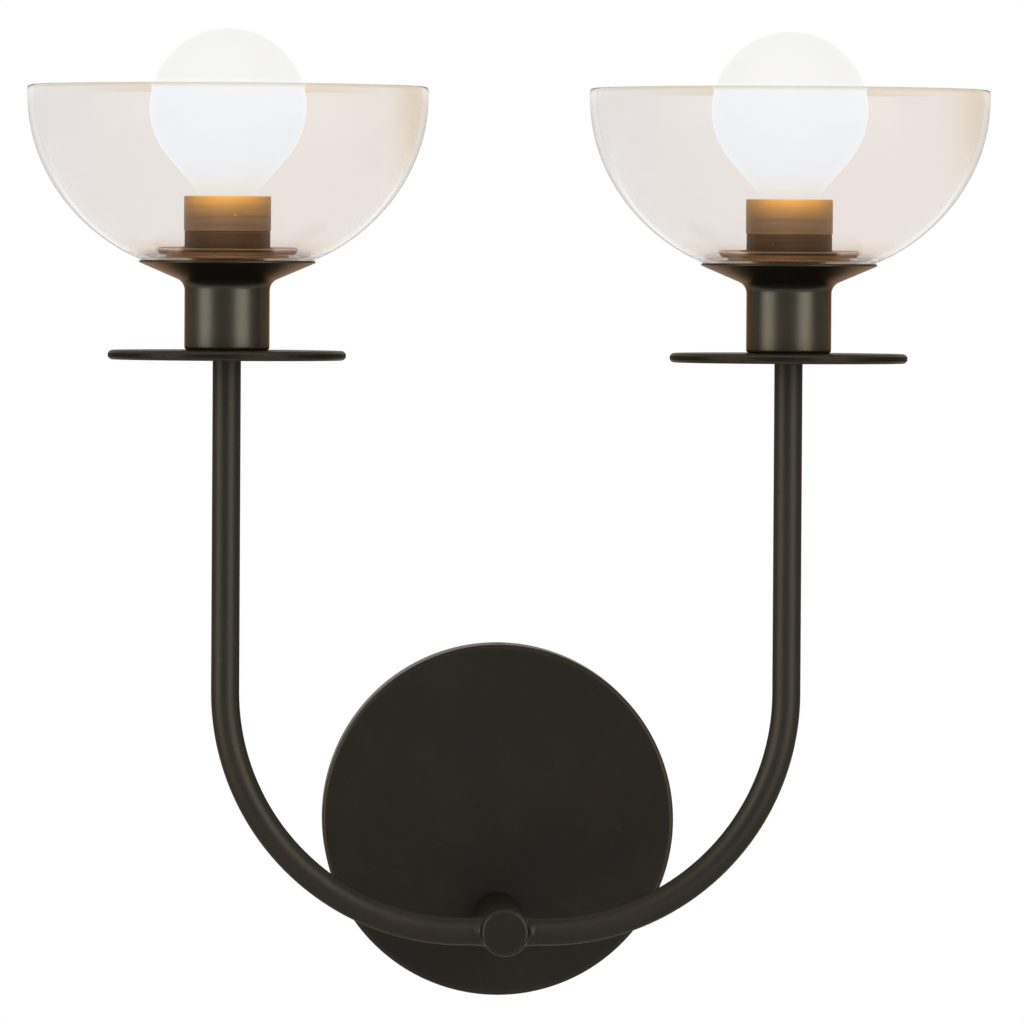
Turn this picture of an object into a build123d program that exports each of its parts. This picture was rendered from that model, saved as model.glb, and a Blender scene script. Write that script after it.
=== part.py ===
from build123d import *

import os
from math import acos, asin, cos, degrees, radians, sin, sqrt, tan

# A wall sconce with two arms. A stub stands out of a round canopy, and two bent tubes are brazed
# into its sides. Each tube carries a drip disc, a spun cup with a saucer, a glass bowl and a
# small-screw lamp holder with a globe bulb.
# Sizes are in millimetres. The origin is the centre of the canopy's open side, on the wall.
# +X is to the viewer's right, +Z is up, and the sconce stands out from the wall towards -Y.

# Fits
thread_clearance = 0.05
slip_clearance = 0.15
lamp_thread_clearance = 0.45

# Canopy, the pan against the wall
canopy_diameter = 120.6
canopy_depth = 21.0
canopy_wall = 1.2
canopy_edge_round = 1.3

# Bracket behind the canopy, screwed to the wall box
bracket_width = 16.0
bracket_thickness = 2.0
bracket_bend_radius = 3.5
bracket_ear_length = 14.0
bracket_ear_clearance = 0.3
bracket_corner_round = 4.0
bracket_centre_hole_diameter = 10.4
box_screw_slot_width = 4.8
box_screw_spacing_small = 69.9
box_screw_spacing_large = 88.9

# Set screws that hold the canopy on the bracket's ears
set_screw_diameter = 4.2
set_screw_hole_diameter = 5.2
set_screw_from_wall = 8.0
set_screw_recess = 0.3
set_screw_past_ear = 1.2
set_screw_key_width = 2.0
set_screw_key_depth = 2.0

# Ground screw on the bracket
ground_screw_height = 18.0
ground_screw_diameter = 4.8
ground_screw_head_width = 8.0
ground_screw_head_thickness = 3.2
ground_screw_slot_width = 1.2
ground_screw_slot_depth = 1.4

# Stub that carries both arms
hub_drop = 32.6
hub_diameter = 15.9
hub_reach = 104.0
hub_nose = 9.5
hub_edge_round = 1.1
hub_bore_diameter = 7.0
hub_tail_diameter = 10.0
hub_tail_past_nut = 2.0
hub_washer_diameter = 17.0
hub_washer_thickness = 0.9
hub_nut_width = 14.0
hub_nut_thickness = 3.5
braze_thickness = 0.3
braze_length = 2.2
braze_round = 1.8
braze_taper = 0.15

# Arm tubes
arm_spacing = 188.0
arm_height = 190.9
arm_tube_diameter = 9.5
arm_tube_wall = 1.1
arm_bend_radius = 80.0
arm_seat_depth = 4.8

# Insulated leads inside the arms, two to each lamp holder
lead_diameter = 1.8
lead_half_gap = 1.15
lead_half_rise = 1.05
lead_turn_radius = 2.2
lead_past_nipple = 1.5

# Hollow threaded nipple at the top of each tube
nipple_diameter = 8.0
nipple_bore_diameter = 5.2
nipple_in_tube = 12.0
nipple_in_socket = 7.0

# Drip disc
disc_diameter = 79.6
disc_thickness = 3.2
disc_edge_flat = 0.2

# Cup with its saucer, spun from sheet, and the nut that holds it
cup_diameter = 28.5
cup_wall = 0.8
cup_height = 30.1
cup_base_round = 1.2
saucer_diameter = 59.2
saucer_angle = 23.3
saucer_round = 4.0
cup_washer_diameter = 14.0
cup_washer_thickness = 0.8
cup_nut_width = 12.0
cup_nut_thickness = 3.0

# Glass bowl, whose flat foot is sunk in the saucer
bowl_diameter = 134.2
bowl_curve_height = 61.4
bowl_wall = 2.0
bowl_lip = 2.9
bowl_foot_diameter = 51.8
bowl_foot_round = 1.5
bowl_hole_clearance = 1.0
bowl_seat_gap = 0.15

# Soft rings below and above the bowl's foot
gasket_inner_diameter = 39.0
gasket_outer_diameter = 48.6
foot_washer_diameter = 41.0
foot_washer_thickness = 1.2

# Ring nut with a dished flange that clamps the bowl, and the sleeve above it
retainer_diameter = 47.4
retainer_sheet = 0.8
retainer_rim_height = 1.9
retainer_rim_lean = 1.0
retainer_rim_round = 1.2
retainer_barrel_height = 7.8
cover_diameter = 29.1
cover_wall = 1.0
cover_height = 11.7
cover_edge_round = 0.4
cover_above_socket = 2.6

# Lamp holder
socket_diameter = 24.0
socket_base_diameter = 20.0
socket_base_height = 6.0
socket_length = 33.0
socket_cavity_depth = 23.5
socket_throat_diameter = 5.4
socket_shell_wall = 0.4
socket_shell_below_mouth = 2.0
socket_shell_above_floor = 2.0
contact_diameter = 9.0
contact_pip_diameter = 2.6
contact_plate = 0.7

# Globe bulb with its small screw base
bulb_diameter = 52.4
bulb_length = 79.2
bulb_taper_angle = 41.0
bulb_glass_wall = 0.7
bulb_neck_length = 9.0
bulb_neck_round = 3.0
bulb_seat_depth = 20.5
bulb_seat_gap = 0.3
base_diameter = 11.7
base_wall = 0.35
base_length = 18.0
base_shoulder_height = 2.9
base_hole_diameter = 6.6
base_hole_height = 1.2
insulator_thickness = 1.6
tip_diameter = 4.0
tip_height = 2.2
tip_round = 0.8
stem_foot_diameter = 8.6
stem_diameter = 4.0
stem_taper_height = 10.0
stem_height = 30.0
stem_button_diameter = 5.6
stem_button_height = 2.0
filament_count = 4
filament_diameter = 1.6
filament_length = 20.0
filament_lean = 16.0
filament_start = 12.0

# Radii and places that follow from the sizes above
canopy_radius = canopy_diameter / 2
canopy_inner_radius = canopy_radius - canopy_wall
hub_radius = hub_diameter / 2
hub_z = -hub_drop
hub_tail_radius = hub_tail_diameter / 2
arm_offset = arm_spacing / 2
arm_tube_radius = arm_tube_diameter / 2
arm_bore_radius = arm_tube_radius - arm_tube_wall
arm_end_x = hub_radius - arm_seat_depth
arm_top = hub_z + arm_height
nipple_radius = nipple_diameter / 2
passing_radius = nipple_radius + slip_clearance
disc_top = arm_top + disc_thickness
cup_radius = cup_diameter / 2
saucer_radius = saucer_diameter / 2
saucer_slope = tan(radians(saucer_angle))
cup_top = disc_top + cup_height
saucer_edge_z = cup_top - cup_wall * cos(radians(saucer_angle))
saucer_corner_z = saucer_edge_z - (saucer_radius - cup_radius) * saucer_slope
saucer_inner_radius = saucer_radius - cup_wall * sin(radians(saucer_angle))

# The bowl stands clear of the saucer's lip and of the slope under its foot.
foot_radius = bowl_foot_diameter / 2
bowl_radius = bowl_diameter / 2
bowl_foot_angle = degrees(acos(foot_radius / bowl_radius))
bowl_lip_angle = degrees(acos(saucer_inner_radius / bowl_radius))
slope_z = cup_top - (saucer_inner_radius - foot_radius) * saucer_slope
middle_over_lip = cup_top + bowl_curve_height * sin(radians(bowl_lip_angle))
middle_over_slope = slope_z + bowl_curve_height * sin(radians(bowl_foot_angle))
bowl_middle_z = max(middle_over_lip, middle_over_slope) + bowl_seat_gap
foot_z = bowl_middle_z - bowl_curve_height * sin(radians(bowl_foot_angle))
bowl_rim_z = bowl_middle_z + bowl_lip
bowl_floor_z = foot_z + bowl_wall
bowl_inner_radius = bowl_radius - bowl_wall
bowl_inner_curve = bowl_curve_height - bowl_wall
bowl_floor_drop = (bowl_middle_z - bowl_floor_z) / bowl_inner_curve
bowl_floor_angle = degrees(asin(bowl_floor_drop))

socket_radius = socket_diameter / 2
bowl_hole_radius = socket_radius + bowl_hole_clearance
retainer_z = bowl_floor_z + foot_washer_thickness
retainer_top = retainer_z + retainer_barrel_height
cover_radius = cover_diameter / 2
cover_top = retainer_top + cover_height
socket_top = cover_top - cover_above_socket
socket_bottom = socket_top - socket_length
socket_floor = socket_top - socket_cavity_depth
nipple_top = socket_bottom + nipple_in_socket
nipple_bottom = arm_top - nipple_in_tube
base_radius = base_diameter / 2
shell_inner_radius = base_radius + lamp_thread_clearance
shell_radius = shell_inner_radius + socket_shell_wall
socket_cavity_radius = shell_radius + slip_clearance

bulb_radius = bulb_diameter / 2
bulb_tip_z = socket_top - bulb_seat_depth
bulb_middle_z = bulb_tip_z + bulb_length - bulb_radius
bulb_shoulder_radius = bulb_radius * cos(radians(bulb_taper_angle))
bulb_shoulder_z = bulb_middle_z - bulb_radius * sin(radians(bulb_taper_angle))
bulb_neck_radius = base_radius - base_wall - slip_clearance
bulb_taper_drop = (bulb_shoulder_radius - bulb_neck_radius) / tan(radians(bulb_taper_angle))
bulb_neck_z = bulb_shoulder_z - bulb_taper_drop
bulb_open_z = bulb_neck_z - bulb_neck_length
contact_top = bulb_tip_z - bulb_seat_gap

hub_plane = Plane(origin=(0, 0, hub_z), x_dir=(1, 0, 0), z_dir=(0, -1, 0))
arm_cross_plane = Plane(origin=(0, -hub_reach, hub_z), x_dir=(0, 1, 0), z_dir=(1, 0, 0))

os.makedirs("parts", exist_ok=True)


# ---------------------------------------------------------------- canopy and its fixings

# The canopy is a pan with a rounded front edge, open towards the wall.
with BuildPart() as canopy:
    with BuildSketch(Plane.XZ):
        Circle(canopy_radius)
    extrude(amount=canopy_depth)
    fillet(canopy.edges().sort_by(Axis.Y)[0], canopy_edge_round)
    offset(amount=-canopy_wall, openings=canopy.faces().sort_by(Axis.Y)[-1])
    with BuildSketch(hub_plane.offset(canopy_depth)):
        Circle(hub_tail_radius + slip_clearance)
    extrude(amount=-2 * canopy_wall, mode=Mode.SUBTRACT)
    with BuildSketch(Plane.XY):
        with Locations((0, -set_screw_from_wall)):
            Circle(set_screw_hole_diameter / 2)
    extrude(amount=canopy_radius + canopy_wall, both=True, mode=Mode.SUBTRACT)
canopy.part.label = "canopy"
export_step(canopy.part, "parts/canopy.step")

# The bracket is a strap whose two ends are bent forward as ears, just inside the canopy's wall.
ear_z = sqrt(canopy_inner_radius**2 - (bracket_width / 2) ** 2) - bracket_ear_clearance
slot_middle_z = (box_screw_spacing_small + box_screw_spacing_large) / 4
slot_travel = (box_screw_spacing_large - box_screw_spacing_small) / 2
with BuildPart() as wall_bracket:
    with BuildSketch(Plane.YZ):
        with BuildLine():
            FilletPolyline(
                (-bracket_ear_length, ear_z),
                (0, ear_z),
                (0, -ear_z),
                (-bracket_ear_length, -ear_z),
                radius=bracket_bend_radius,
            )
            offset(amount=bracket_thickness, side=Side.RIGHT)
        make_face()
    extrude(amount=bracket_width / 2, both=True)
    fillet(wall_bracket.edges().filter_by(Axis.Z).group_by(Axis.Y)[0], bracket_corner_round)
    with BuildSketch(Plane.XZ):
        with Locations((0, slot_middle_z), (0, -slot_middle_z)):
            SlotCenterToCenter(slot_travel, box_screw_slot_width, rotation=90)
        Circle(bracket_centre_hole_diameter / 2)
        with Locations((0, ground_screw_height)):
            Circle(ground_screw_diameter / 2 + thread_clearance)
    extrude(amount=2 * bracket_thickness, mode=Mode.SUBTRACT)
    with BuildSketch(Plane.XY):
        with Locations((0, -set_screw_from_wall)):
            Circle(set_screw_diameter / 2 + thread_clearance)
    extrude(amount=canopy_radius, both=True, mode=Mode.SUBTRACT)
wall_bracket.part.label = "wall_bracket"
export_step(wall_bracket.part, "parts/wall_bracket.step")

# Two headless screws sit in the canopy's side holes, at the top and at the bottom.
set_screw_outer_z = canopy_radius - set_screw_recess
set_screw_length = set_screw_outer_z - (ear_z - bracket_thickness - set_screw_past_ear)
with BuildPart() as canopy_set_screws:
    with BuildSketch(Plane.XY.offset(set_screw_outer_z)):
        with Locations((0, -set_screw_from_wall)):
            Circle(set_screw_diameter / 2)
    extrude(amount=-set_screw_length)
    with BuildSketch(Plane.XY.offset(set_screw_outer_z)):
        with Locations((0, -set_screw_from_wall)):
            RegularPolygon(set_screw_key_width / 2, 6, major_radius=False)
    extrude(amount=-set_screw_key_depth, mode=Mode.SUBTRACT)
    mirror(about=Plane.XY)
canopy_set_screws.part.label = "canopy_set_screws"
export_step(canopy_set_screws.part, "parts/canopy_set_screws.step")

with BuildPart() as ground_screw:
    with BuildSketch(Plane.XZ):
        with Locations((0, ground_screw_height)):
            Circle(ground_screw_diameter / 2)
    extrude(amount=bracket_thickness)
    with BuildSketch(Plane.XZ.offset(bracket_thickness)):
        with Locations((0, ground_screw_height)):
            RegularPolygon(ground_screw_head_width / 2, 6, major_radius=False)
    extrude(amount=ground_screw_head_thickness)
    with BuildSketch(Plane.XZ.offset(bracket_thickness + ground_screw_head_thickness)):
        with Locations((0, ground_screw_height)):
            Rectangle(2 * ground_screw_head_width, ground_screw_slot_width)
    extrude(amount=-ground_screw_slot_depth, mode=Mode.SUBTRACT)
ground_screw.part.label = "ground_screw"
export_step(ground_screw.part, "parts/ground_screw.step")


# ---------------------------------------------------------------- stub

# The stub is a turned rod. Braze collars blend it into the two arms, and a bore leads from the
# arms through its threaded tail.
hub_tail_length = canopy_wall + hub_washer_thickness + hub_nut_thickness + hub_tail_past_nut
with BuildPart() as hub:
    with BuildSketch(hub_plane.offset(canopy_depth)):
        Circle(hub_radius)
    extrude(amount=hub_reach + hub_nose - canopy_depth)
    fillet(hub.edges().sort_by(Axis.Y)[0], hub_edge_round)
    with BuildSketch(arm_cross_plane):
        Circle(arm_tube_radius + braze_thickness)
    extrude(amount=hub_radius + braze_length, both=True)
    fillet(hub.edges().filter_by(GeomType.BSPLINE), braze_round)
    chamfer(hub.faces().filter_by(Axis.X).edges(), braze_taper)
    with BuildSketch(arm_cross_plane):
        Circle(arm_tube_radius + thread_clearance)
    extrude(amount=hub_radius + 2 * braze_length, both=True, mode=Mode.SUBTRACT)
    with BuildSketch(hub_plane.offset(canopy_depth)):
        Circle(hub_tail_radius)
    extrude(amount=-hub_tail_length)
    with BuildSketch(hub_plane.offset(canopy_depth - hub_tail_length)):
        Circle(hub_bore_diameter / 2)
    extrude(amount=hub_reach - canopy_depth + hub_tail_length, mode=Mode.SUBTRACT)
hub.part.label = "hub"
export_step(hub.part, "parts/hub.step")

hub_washer_y = canopy_depth - canopy_wall
with BuildPart() as hub_lock_washer:
    with BuildSketch(hub_plane.offset(hub_washer_y)):
        Circle(hub_washer_diameter / 2)
        Circle(hub_tail_radius + slip_clearance, mode=Mode.SUBTRACT)
    extrude(amount=-hub_washer_thickness)
hub_lock_washer.part.label = "hub_lock_washer"
export_step(hub_lock_washer.part, "parts/hub_lock_washer.step")

with BuildPart() as hub_lock_nut:
    with BuildSketch(hub_plane.offset(hub_washer_y - hub_washer_thickness)):
        RegularPolygon(hub_nut_width / 2, 6, major_radius=False)
        Circle(hub_tail_radius + thread_clearance, mode=Mode.SUBTRACT)
    extrude(amount=-hub_nut_thickness)
hub_lock_nut.part.label = "hub_lock_nut"
export_step(hub_lock_nut.part, "parts/hub_lock_nut.step")


# ---------------------------------------------------------------- two arms and their lamp heads


def level(head_x, height):
    """The level plane at a height, centred on a lamp head's axis."""
    return Plane(origin=(head_x, -hub_reach, height))


def wall_curve(radius, height, foot_angle):
    """An arc of an ellipse from the bowl's foot up to its widest point, as a rational curve."""
    half_turn = radians(foot_angle) / 2
    return Bezier(
        (radius * cos(2 * half_turn), bowl_middle_z - height * sin(2 * half_turn)),
        (radius, bowl_middle_z - height * tan(half_turn)),
        (radius, bowl_middle_z),
        weights=(1, cos(half_turn), 1),
    )


for side, direction in (("left", -1), ("right", 1)):
    head_x = direction * arm_offset
    head_axis = Axis((head_x, -hub_reach, 0), (0, 0, 1))
    head_section = Plane(origin=(head_x, -hub_reach, 0), x_dir=(1, 0, 0), z_dir=(0, -1, 0))

    # The tube drops from the disc, turns through a quarter circle and enters the stub's side.
    with BuildPart() as arm_tube:
        with BuildLine():
            arm_path = FilletPolyline(
                (head_x, -hub_reach, arm_top),
                (head_x, -hub_reach, hub_z),
                (direction * arm_end_x, -hub_reach, hub_z),
                radius=arm_bend_radius,
            )
        with BuildSketch(level(head_x, arm_top)):
            Circle(arm_tube_radius)
            Circle(arm_bore_radius, mode=Mode.SUBTRACT)
        sweep(path=arm_path)
        with BuildSketch(level(head_x, arm_top)):
            Circle(nipple_radius + thread_clearance)
        extrude(amount=-nipple_in_tube, mode=Mode.SUBTRACT)
    arm_tube.part.label = f"{side}_arm_tube"
    export_step(arm_tube.part, f"parts/{side}_arm_tube.step")

    # Two leads run side by side from the lamp holder to the mouth of the stub's tail.
    lead_top = nipple_top + lead_past_nipple
    lead_end_y = hub_tail_length - canopy_depth
    with BuildPart() as leads:
        for lead in (-1, 1):
            lead_x = direction * (arm_offset + lead * lead_half_rise)
            lead_y = lead * lead_half_gap - hub_reach
            lead_z = hub_z - lead * lead_half_rise
            tail_x = direction * lead_half_gap
            with BuildLine():
                lead_path = FilletPolyline(
                    (lead_x, lead_y, lead_top),
                    (lead_x, lead_y, lead_z),
                    (tail_x, lead_y, lead_z),
                    (tail_x, lead_end_y, lead_z),
                    radius=[arm_bend_radius + lead * lead_half_rise, lead_turn_radius],
                )
            with BuildSketch(Plane(origin=(lead_x, lead_y, lead_top))):
                Circle(lead_diameter / 2)
            sweep(path=lead_path)
    leads.part.label = f"{side}_leads"
    export_step(leads.part, f"parts/{side}_leads.step")

    with BuildPart() as nipple:
        with BuildSketch(level(head_x, nipple_bottom)):
            Circle(nipple_radius)
            Circle(nipple_bore_diameter / 2, mode=Mode.SUBTRACT)
        extrude(amount=nipple_top - nipple_bottom)
    nipple.part.label = f"{side}_nipple"
    export_step(nipple.part, f"parts/{side}_nipple.step")

    with BuildPart() as drip_disc:
        with BuildSketch(level(head_x, arm_top)):
            Circle(disc_diameter / 2)
        extrude(amount=disc_thickness)
        fillet(drip_disc.edges(), (disc_thickness - disc_edge_flat) / 2)
        with BuildSketch(level(head_x, arm_top)):
            Circle(passing_radius)
        extrude(amount=disc_thickness, mode=Mode.SUBTRACT)
    drip_disc.part.label = f"{side}_drip_disc"
    export_step(drip_disc.part, f"parts/{side}_drip_disc.step")

    # The cup's sheet starts at the nipple's hole, rises as a cylinder and flares into the saucer.
    with BuildPart() as cup:
        with BuildSketch(head_section):
            with BuildLine():
                FilletPolyline(
                    (passing_radius, disc_top),
                    (cup_radius, disc_top),
                    (cup_radius, saucer_corner_z),
                    (saucer_radius, saucer_edge_z),
                    radius=[cup_base_round, saucer_round],
                )
                offset(amount=cup_wall, side=Side.LEFT)
            make_face()
        revolve(axis=head_axis)
    cup.part.label = f"{side}_cup"
    export_step(cup.part, f"parts/{side}_cup.step")

    cup_washer_z = disc_top + cup_wall
    with BuildPart() as cup_lock_washer:
        with BuildSketch(level(head_x, cup_washer_z)):
            Circle(cup_washer_diameter / 2)
            Circle(passing_radius, mode=Mode.SUBTRACT)
        extrude(amount=cup_washer_thickness)
    cup_lock_washer.part.label = f"{side}_cup_lock_washer"
    export_step(cup_lock_washer.part, f"parts/{side}_cup_lock_washer.step")

    with BuildPart() as cup_lock_nut:
        with BuildSketch(level(head_x, cup_washer_z + cup_washer_thickness)):
            RegularPolygon(cup_nut_width / 2, 6, major_radius=False)
            Circle(nipple_radius + thread_clearance, mode=Mode.SUBTRACT)
        extrude(amount=cup_nut_thickness)
    cup_lock_nut.part.label = f"{side}_cup_lock_nut"
    export_step(cup_lock_nut.part, f"parts/{side}_cup_lock_nut.step")

    # The gasket fills the wedge between the saucer's slope and the bowl's flat foot.
    gasket_inner = gasket_inner_diameter / 2
    gasket_outer = gasket_outer_diameter / 2
    gasket_lift = cup_top + thread_clearance
    with BuildPart() as glass_gasket:
        with BuildSketch(head_section):
            with BuildLine():
                Polyline(
                    (gasket_inner, gasket_lift - (saucer_inner_radius - gasket_inner) * saucer_slope),
                    (gasket_outer, gasket_lift - (saucer_inner_radius - gasket_outer) * saucer_slope),
                    (gasket_outer, foot_z),
                    (gasket_inner, foot_z),
                    close=True,
                )
            make_face()
        revolve(axis=head_axis)
    glass_gasket.part.label = f"{side}_glass_gasket"
    export_step(glass_gasket.part, f"parts/{side}_glass_gasket.step")

    # The bowl's wall lies between two ellipses, with a short upright lip above and a flat foot below.
    with BuildPart() as glass_bowl:
        with BuildSketch(head_section):
            with BuildLine():
                outer_curve = wall_curve(bowl_radius, bowl_curve_height, bowl_foot_angle)
                inner_curve = wall_curve(bowl_inner_radius, bowl_inner_curve, bowl_floor_angle)
                outer_lip = Line(outer_curve @ 1, (bowl_radius, bowl_rim_z - bowl_wall / 2))
                inner_lip = Line(inner_curve @ 1, (bowl_inner_radius, bowl_rim_z - bowl_wall / 2))
                ThreePointArc(
                    outer_lip @ 1,
                    (bowl_radius - bowl_wall / 2, bowl_rim_z),
                    inner_lip @ 1,
                )
                Polyline(
                    inner_curve @ 0,
                    (bowl_hole_radius, bowl_floor_z),
                    (bowl_hole_radius, foot_z),
                    outer_curve @ 0,
                )
            make_face()
        revolve(axis=head_axis)
        foot_edges = glass_bowl.edges().filter_by(GeomType.CIRCLE).group_by(Axis.Z)[0]
        fillet(foot_edges.sort_by(SortBy.RADIUS)[-1], bowl_foot_round)
    glass_bowl.part.label = f"{side}_glass_bowl"
    export_step(glass_bowl.part, f"parts/{side}_glass_bowl.step")

    with BuildPart() as foot_washer:
        with BuildSketch(level(head_x, bowl_floor_z)):
            Circle(foot_washer_diameter / 2)
            Circle(bowl_hole_radius, mode=Mode.SUBTRACT)
        extrude(amount=foot_washer_thickness)
    foot_washer.part.label = f"{side}_foot_washer"
    export_step(foot_washer.part, f"parts/{side}_foot_washer.step")

    # The retainer is a ring nut: a threaded barrel on a dished flange with an upturned rim.
    retainer_radius = retainer_diameter / 2
    retainer_bore = socket_radius + thread_clearance
    with BuildPart() as glass_retainer:
        with BuildSketch(head_section):
            with BuildLine():
                FilletPolyline(
                    (retainer_bore, retainer_z),
                    (retainer_radius - retainer_rim_lean, retainer_z),
                    (retainer_radius, retainer_z + retainer_rim_height),
                    radius=retainer_rim_round,
                )
                offset(amount=retainer_sheet, side=Side.LEFT)
            make_face()
            with Locations((retainer_bore, retainer_z)):
                Rectangle(
                    cover_radius - retainer_bore,
                    retainer_barrel_height,
                    align=(Align.MIN, Align.MIN),
                )
        revolve(axis=head_axis)
    glass_retainer.part.label = f"{side}_glass_retainer"
    export_step(glass_retainer.part, f"parts/{side}_glass_retainer.step")

    with BuildPart() as socket_cover:
        with BuildSketch(level(head_x, retainer_top)):
            Circle(cover_radius)
            Circle(cover_radius - cover_wall, mode=Mode.SUBTRACT)
        extrude(amount=cover_height)
        fillet(socket_cover.edges().group_by(Axis.Z)[-1], cover_edge_round)
    socket_cover.part.label = f"{side}_socket_cover"
    export_step(socket_cover.part, f"parts/{side}_socket_cover.step")

    # The lamp holder's body has a stepped base on the nipple and a cavity for the screw shell.
    with BuildPart() as socket_body:
        with BuildSketch(level(head_x, socket_bottom)):
            Circle(socket_base_diameter / 2)
        extrude(amount=socket_base_height)
        with BuildSketch(level(head_x, socket_bottom + socket_base_height)):
            Circle(socket_radius)
        extrude(amount=socket_length - socket_base_height)
        with BuildSketch(level(head_x, socket_floor)):
            Circle(socket_cavity_radius)
        extrude(amount=socket_cavity_depth, mode=Mode.SUBTRACT)
        with BuildSketch(level(head_x, socket_bottom)):
            Circle(nipple_radius + thread_clearance)
        extrude(amount=nipple_in_socket + thread_clearance, mode=Mode.SUBTRACT)
        with BuildSketch(level(head_x, nipple_top)):
            Circle(socket_throat_diameter / 2)
        extrude(amount=socket_floor - nipple_top, mode=Mode.SUBTRACT)
    socket_body.part.label = f"{side}_socket_body"
    export_step(socket_body.part, f"parts/{side}_socket_body.step")

    with BuildPart() as socket_shell:
        with BuildSketch(level(head_x, socket_floor + socket_shell_above_floor)):
            Circle(shell_radius)
            Circle(shell_inner_radius, mode=Mode.SUBTRACT)
        extrude(amount=socket_cavity_depth - socket_shell_above_floor - socket_shell_below_mouth)
    socket_shell.part.label = f"{side}_socket_shell"
    export_step(socket_shell.part, f"parts/{side}_socket_shell.step")

    # The centre contact is a plate on the cavity's floor with a pip under the bulb's tip.
    with BuildPart() as socket_contact:
        with BuildSketch(level(head_x, socket_floor)):
            Circle(contact_diameter / 2)
        extrude(amount=contact_plate)
        with BuildSketch(level(head_x, socket_floor + contact_plate)):
            Circle(contact_pip_diameter / 2)
        extrude(amount=contact_top - socket_floor - contact_plate)
    socket_contact.part.label = f"{side}_socket_contact"
    export_step(socket_contact.part, f"parts/{side}_socket_contact.step")

    # The bulb's glass is a globe that tapers straight into a neck inside the screw base.
    with BuildPart() as bulb_glass:
        with BuildSketch(head_section):
            with BuildLine():
                globe = CenterArc(
                    (0, bulb_middle_z),
                    bulb_radius,
                    start_angle=90,
                    arc_size=-90 - bulb_taper_angle,
                )
                FilletPolyline(
                    globe @ 1,
                    (bulb_neck_radius, bulb_neck_z),
                    (bulb_neck_radius, bulb_open_z),
                    radius=bulb_neck_round,
                )
                offset(amount=bulb_glass_wall, side=Side.RIGHT)
            make_face()
        revolve(axis=head_axis)
    bulb_glass.part.label = f"{side}_bulb_glass"
    export_step(bulb_glass.part, f"parts/{side}_bulb_glass.step")

    with BuildPart() as bulb_base:
        with BuildSketch(head_section):
            with BuildLine():
                Polyline(
                    (base_hole_diameter / 2, bulb_tip_z + base_hole_height),
                    (base_radius, bulb_tip_z + base_shoulder_height),
                    (base_radius, bulb_tip_z + base_length),
                )
                offset(amount=base_wall, side=Side.LEFT)
            make_face()
        revolve(axis=head_axis)
    bulb_base.part.label = f"{side}_bulb_base"
    export_step(bulb_base.part, f"parts/{side}_bulb_base.step")

    insulator_z = bulb_tip_z + tip_height - insulator_thickness
    with BuildPart() as bulb_insulator:
        with BuildSketch(level(head_x, insulator_z)):
            Circle(base_hole_diameter / 2 - 2 * slip_clearance)
            Circle(tip_diameter / 2 + thread_clearance, mode=Mode.SUBTRACT)
        extrude(amount=insulator_thickness)
    bulb_insulator.part.label = f"{side}_bulb_insulator"
    export_step(bulb_insulator.part, f"parts/{side}_bulb_insulator.step")

    with BuildPart() as bulb_tip:
        with BuildSketch(level(head_x, bulb_tip_z)):
            Circle(tip_diameter / 2)
        extrude(amount=tip_height)
        fillet(bulb_tip.edges().group_by(Axis.Z)[0], tip_round)
    bulb_tip.part.label = f"{side}_bulb_tip"
    export_step(bulb_tip.part, f"parts/{side}_bulb_tip.step")

    # Inside the globe a glass stem carries the filament rods, which lean outwards around it.
    with BuildPart() as bulb_stem:
        with BuildSketch(head_section):
            with BuildLine():
                Polyline(
                    (0, bulb_open_z),
                    (stem_foot_diameter / 2, bulb_open_z),
                    (stem_diameter / 2, bulb_open_z + stem_taper_height),
                    (stem_diameter / 2, bulb_open_z + stem_height),
                    (stem_button_diameter / 2, bulb_open_z + stem_height),
                    (stem_button_diameter / 2, bulb_open_z + stem_height + stem_button_height),
                    (0, bulb_open_z + stem_height + stem_button_height),
                    close=True,
                )
            make_face()
        revolve(axis=head_axis)
    bulb_stem.part.label = f"{side}_bulb_stem"
    export_step(bulb_stem.part, f"parts/{side}_bulb_stem.step")

    filament_foot = stem_diameter / 2 + filament_diameter / 2 + 2 * slip_clearance
    with BuildPart() as bulb_filaments:
        for turn in range(filament_count):
            heading = radians(360 * turn / filament_count)
            outward = Vector(cos(heading), sin(heading), 0)
            foot = Vector(head_x, -hub_reach, bulb_open_z + filament_start) + outward * filament_foot
            lean = outward * tan(radians(filament_lean)) + Vector(0, 0, 1)
            with BuildSketch(Plane(origin=foot, z_dir=lean)):
                Circle(filament_diameter / 2)
            extrude(amount=filament_length)
    bulb_filaments.part.label = f"{side}_bulb_filaments"
    export_step(bulb_filaments.part, f"parts/{side}_bulb_filaments.step")
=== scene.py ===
import math
from typing import NamedTuple

import bmesh
import bpy
from mathutils import Matrix, Vector


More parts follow.
